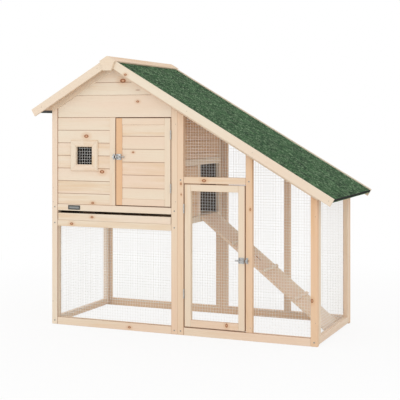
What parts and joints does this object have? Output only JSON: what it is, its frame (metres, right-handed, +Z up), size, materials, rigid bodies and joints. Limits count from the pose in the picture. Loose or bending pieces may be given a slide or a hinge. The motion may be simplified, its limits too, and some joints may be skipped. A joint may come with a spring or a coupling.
{
  "type": "two-tier rabbit hutch",
  "caption": "Two-tier pine rabbit hutch: gabled sleeping house over a meshed run, with hinged doors, barrel bolts, slide-out tray and ramp under a felted roof.",
  "frame": {"origin": "on the ground, under the middle of the whole object, roof included", "axes": "+X along the long front, from the house to the run; +Y from front to rear; +Z up"},
  "size_m": [1.434, 0.702, 1.2269],
  "materials": {
    "pine": "raw sawn and planed pine",
    "roofing_felt": "green mineral felt",
    "galvanised_mesh": "galvanised welded wire",
    "dark_plate": "satin dark",
    "zinc_fittings": "bright zinc plated",
    "screws": "zinc plated"
  },
  "bodies": {
    "frame": {"blank_label_plate": "dark_plate", "bolt_keepers": "zinc_fittings", "door_jamb": "pine", "frame_fitting_screws": "screws", "frame_screws": "screws", "front_barge_boards": "pine", "front_bottom_rails": "pine", "front_gable_boards": "pine", "front_header_board": "pine", "front_rafters": "pine", "front_siding_boards": "pine", "house_front_posts": "pine", "house_sill_rail": "pine", "left_side_frame": "pine", "left_wall_boards": "pine", "mesh_lower_front": "galvanised_mesh", "mesh_lower_left": "galvanised_mesh", "mesh_lower_rear": "galvanised_mesh", "mesh_run_bay": "galvanised_mesh", "mesh_run_rear": "galvanised_mesh", "mesh_run_right": "galvanised_mesh", "mesh_run_upper": "galvanised_mesh", "partition_boards": "pine", "partition_frame": "pine", "post_hinge_leaves": "zinc_fittings", "ramp_board": "pine", "ramp_cleats": "pine", "rear_barge_boards": "pine", "rear_bottom_rails": "pine", "rear_posts": "pine", "rear_rafters": "pine", "rear_wall_boards": "pine", "ridge_cap_boards": "pine", "ridge_end_plates": "pine", "right_side_frame": "pine", "roof_board_left": "pine", "roof_board_right": "pine", "roof_felt_left": "roofing_felt", "roof_felt_right": "roofing_felt", "run_front_posts": "pine", "run_transom": "pine", "tray_runners": "pine", "tray_support_rails": "pine", "window_frame": "pine", "window_mesh": "galvanised_mesh"},
    "house_door": {"house_door_frame": "pine", "house_door_boards": "pine", "house_door_hinge_leaves": "zinc_fittings", "house_door_screws": "screws", "house_bolt_base": "zinc_fittings"},
    "run_door": {"run_door_frame": "pine", "run_door_mesh": "galvanised_mesh", "run_door_hinge_leaves": "zinc_fittings", "run_door_screws": "screws", "run_bolt_base": "zinc_fittings"},
    "tray": {"tray_front": "pine", "tray_base": "pine", "tray_walls": "pine"},
    "house_bolt": {"house_bolt_rod": "zinc_fittings"},
    "run_bolt": {"run_bolt_rod": "zinc_fittings"}
  },
  "joints": [
    {"name": "house_door_hinge", "type": "hinge", "parent": "frame", "child": "house_door", "pos_m": [-0.03125, -0.2941, 0.758], "axis": [0, 0, 1], "range_deg": [0, 90]},
    {"name": "run_door_hinge", "type": "hinge", "parent": "frame", "child": "run_door", "pos_m": [0.03175, -0.2941, 0.35], "axis": [0, 0, -1], "range_deg": [0, 90]},
    {"name": "tray_slide", "type": "slide", "parent": "frame", "child": "tray", "axis": [0, -1, 0], "range_m": [0, 0.45]},
    {"name": "house_bolt_slide", "type": "slide", "parent": "house_door", "child": "house_bolt", "axis": [-1, 0, 0], "range_m": [0, 0.011]},
    {"name": "run_bolt_slide", "type": "slide", "parent": "run_door", "child": "run_bolt", "axis": [1, 0, 0], "range_m": [0, 0.011]}
  ]
}
